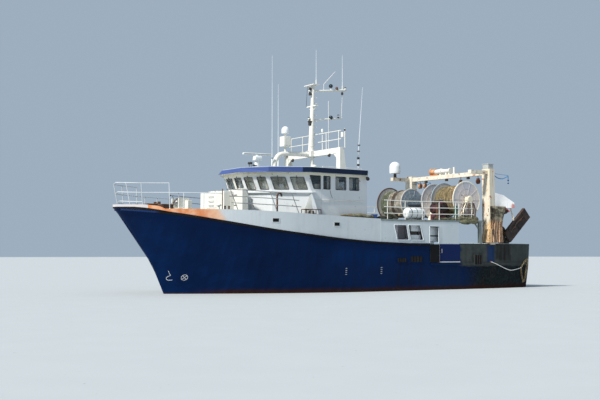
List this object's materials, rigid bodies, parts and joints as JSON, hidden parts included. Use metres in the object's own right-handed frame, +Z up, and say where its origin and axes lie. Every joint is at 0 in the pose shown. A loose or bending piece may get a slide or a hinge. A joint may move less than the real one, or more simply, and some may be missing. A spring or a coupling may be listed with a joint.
{
  "type": "steel stern trawler",
  "caption": "Steel stern trawler of 24.9 m with a faceted wheelhouse forward, shelter deck, net drums, stern gantry, full underwater hull, propeller in a nozzle and rudder.",
  "frame": {"origin": "amidships on the centreline at the waterline", "axes": "+X towards the bow, +Y to port, +Z up"},
  "size_m": [25.016, 7.3888, 15.85],
  "materials": {
    "navy_paint": "ship paint over steel plate, satin, weathered",
    "black_rubbing": "matt black rubbing strake",
    "stern_plate": "blackened and rusty steel plate",
    "antifouling": "matt red-brown bottom paint",
    "white_paint": "white ship paint, weathered",
    "cream_paint": "cream paint with rust runs",
    "brow_paint": "blue ship paint",
    "deck_paint": "worn deck paint",
    "window_glass": "flat dark window glass",
    "galvanised_steel": "galvanised steel, worn",
    "bronze": "cast bronze",
    "net_twine": "wound twine netting",
    "pale_twine": "wound pale twine netting",
    "rusty_steel": "bare rusty steel",
    "maroon_paint": "maroon machine paint, greasy",
    "dark_trim": "black plastic and vinyl"
  },
  "bodies": {
    "ship": {"hull": "antifouling", "hull_fore": "navy_paint", "strake_fore": "white_paint", "bulwark_port": "navy_paint", "bulwark_starboard": "navy_paint", "bulwark_stern": "stern_plate", "shelter_side_port": "white_paint", "shelter_side_starboard": "white_paint", "shelter_deck": "deck_paint", "sheer_rail_port": "black_rubbing", "sheer_rail_starboard": "black_rubbing", "bow_rail_port": "white_paint", "bow_rail_starboard": "white_paint", "waist_rail_port": "galvanised_steel", "waist_rail_starboard": "galvanised_steel", "aft_rail_port": "white_paint", "aft_rail_starboard": "white_paint", "wheelhouse_walls": "white_paint", "wheelhouse_glass": "window_glass", "wheelhouse_roof": "brow_paint", "helm_console": "dark_trim", "helm_chair": "dark_trim", "fore_trunk": "white_paint", "windlass_frame": "white_paint", "swan_neck_vent": "rusty_steel", "mooring_bitts": "rusty_steel", "mast": "white_paint", "mast_portal": "white_paint", "portal_rail": "white_paint", "mast_leg": "white_paint", "drum_motor": "maroon_paint", "radar_pedestal": "white_paint", "whips_starboard": "white_paint", "whip_port": "white_paint", "drum_stands": "white_paint", "gantry": "cream_paint", "radome": "white_paint", "otter_board_port": "rusty_steel", "otter_board_starboard": "rusty_steel", "net_bundle": "pale_twine", "winch_frame": "deck_paint", "hatch_coaming": "deck_paint", "life_raft": "white_paint", "propeller_nozzle": "antifouling"},
    "gate": {"bulwark_gate": "navy_paint"},
    "door": {"wheelhouse_door": "white_paint"},
    "radar": {"radar_scanner": "white_paint"},
    "drum_starboard": {"net_drum_starboard": "galvanised_steel", "net_starboard_1": "net_twine", "net_starboard_2": "pale_twine"},
    "drum_port": {"net_drum_port": "galvanised_steel", "net_port": "net_twine"},
    "winch_port": {"winch_drum_port": "galvanised_steel"},
    "winch_starboard": {"winch_drum_starboard": "galvanised_steel"},
    "windlass": {"windlass_drum": "galvanised_steel"},
    "hatch": {"hatch_lid": "deck_paint"},
    "screw": {"propeller": "bronze"},
    "rudder": {"rudder": "antifouling"}
  },
  "joints": [
    {"name": "propeller_spin", "type": "hinge", "parent": "ship", "child": "screw", "pos_m": [-9.9, 0, -1.96], "axis": [1, 0, 0], "continuous": true},
    {"name": "rudder_turn", "type": "hinge", "parent": "ship", "child": "rudder", "pos_m": [-10.75, 0, -2], "axis": [0, 0, 1], "range_deg": [-35, 35]},
    {"name": "drum_starboard_spin", "type": "hinge", "parent": "ship", "child": "drum_starboard", "pos_m": [-7.05, -1.4, 4.93], "axis": [0, 1, 0], "continuous": true},
    {"name": "drum_port_spin", "type": "hinge", "parent": "ship", "child": "drum_port", "pos_m": [-7.05, 2.3, 4.93], "axis": [0, 1, 0], "continuous": true},
    {"name": "winch_port_spin", "type": "hinge", "parent": "ship", "child": "winch_port", "pos_m": [-2.5, 0.955, 1.9], "axis": [0, 1, 0], "continuous": true},
    {"name": "winch_starboard_spin", "type": "hinge", "parent": "ship", "child": "winch_starboard", "pos_m": [-2.5, -0.955, 1.9], "axis": [0, 1, 0], "continuous": true},
    {"name": "windlass_spin", "type": "hinge", "parent": "ship", "child": "windlass", "pos_m": [9.08, 0, 4.43], "axis": [0, 1, 0], "continuous": true},
    {"name": "radar_spin", "type": "hinge", "parent": "ship", "child": "radar", "pos_m": [4.65, 0, 7], "axis": [0, 0, 1], "continuous": true},
    {"name": "door_swing", "type": "hinge", "parent": "ship", "child": "door", "pos_m": [-0.302, -1.1, 4.8], "axis": [0, 0, -1], "range_deg": [0, 110]},
    {"name": "gate_swing", "type": "hinge", "parent": "ship", "child": "gate", "pos_m": [-6.11, 3.5, 2], "axis": [0, 0, -1], "range_deg": [0, 100]},
    {"name": "hatch_swing", "type": "hinge", "parent": "ship", "child": "hatch", "pos_m": [-8.84, 0, 1.59], "axis": [0, 1, 0], "range_deg": [0, 95]}
  ]
}
